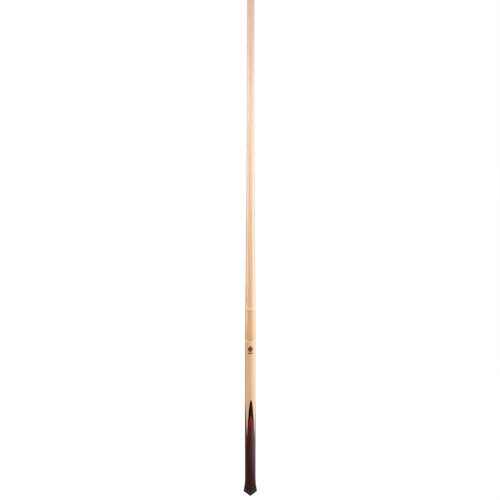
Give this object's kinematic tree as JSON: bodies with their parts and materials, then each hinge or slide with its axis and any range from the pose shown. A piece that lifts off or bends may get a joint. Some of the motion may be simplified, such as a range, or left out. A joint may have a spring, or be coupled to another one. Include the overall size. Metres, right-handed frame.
{
  "type": "pool cue",
  "caption": "Two-piece wooden billiard cue with spliced colour points, a square flared butt end, a screw joint with an amber collar and a leather tip.",
  "frame": {"origin": "centre of the bumper's foot, at the bottom of the square end", "axes": "+Z along the cue from the bumper to the leather tip, -Y out through one corner of the square end, which faces the viewer, +X to the viewer's right"},
  "size_m": [0.0366, 0.0366, 1.448],
  "materials": {
    "leather": "compressed layered leather, chalk-dusted",
    "fibre": "vulcanised fibre, matte",
    "ferrule": "cast resin, polished",
    "maple_shaft": "fine straight-grained maple, satin sealed",
    "maple_forearm": "maple, clear gloss lacquer",
    "amber_wood": "amber-stained maple, clear gloss lacquer",
    "light_ring": "pale maple, clear gloss lacquer",
    "dark_line": "darker amber veneer, clear gloss lacquer",
    "stripe_veneer": "thin grey-brown veneer, satin lacquer",
    "mark_inlay": "dark brown inlay under lacquer",
    "black_wood": "ebony, clear gloss lacquer",
    "red_veneer": "dyed red veneer, clear gloss lacquer",
    "brown_wood": "dark rosewood, clear gloss lacquer",
    "rubber": "moulded black rubber",
    "brass": "machined brass",
    "steel": "turned steel"
  },
  "bodies": {
    "butt": {"butt_light_ring": "light_ring", "joint_pin": "steel", "forearm": "maple_forearm", "maker_mark": "mark_inlay", "handle": "brown_wood", "stripe_plate": "stripe_veneer", "butt_plate": "black_wood", "bumper": "rubber", "bumper_washer": "steel", "bumper_screw": "steel", "threaded_bush": "brass", "weight_bolt": "steel", "black_point_front": "black_wood", "red_point_front": "red_veneer", "black_point_right": "black_wood", "red_point_right": "red_veneer", "black_point_back": "black_wood", "red_point_back": "red_veneer", "black_point_left": "black_wood", "red_point_left": "red_veneer"},
    "insert": {"joint_insert": "brass"},
    "shaft": {"leather_tip": "leather", "tip_pad": "fibre", "ferrule": "ferrule", "shaft": "maple_shaft", "shaft_light_ring": "light_ring", "collar_line_ring": "dark_line", "joint_collar": "amber_wood", "joint_face_ring": "dark_line"}
  },
  "joints": [
    {"name": "shaft_lift", "type": "slide", "parent": "butt", "child": "insert", "axis": [0, 0, 1], "range_m": [0, 0.03048]},
    {"name": "shaft_unscrew", "type": "hinge", "parent": "insert", "child": "shaft", "pos_m": [0, 0, 0.455], "axis": [0, 0, 1], "range_deg": [0, 4320]}
  ],
  "couplings": [
    {"joint": "shaft_unscrew", "follows": "shaft_lift", "rad_per_m": 2473.7}
  ]
}
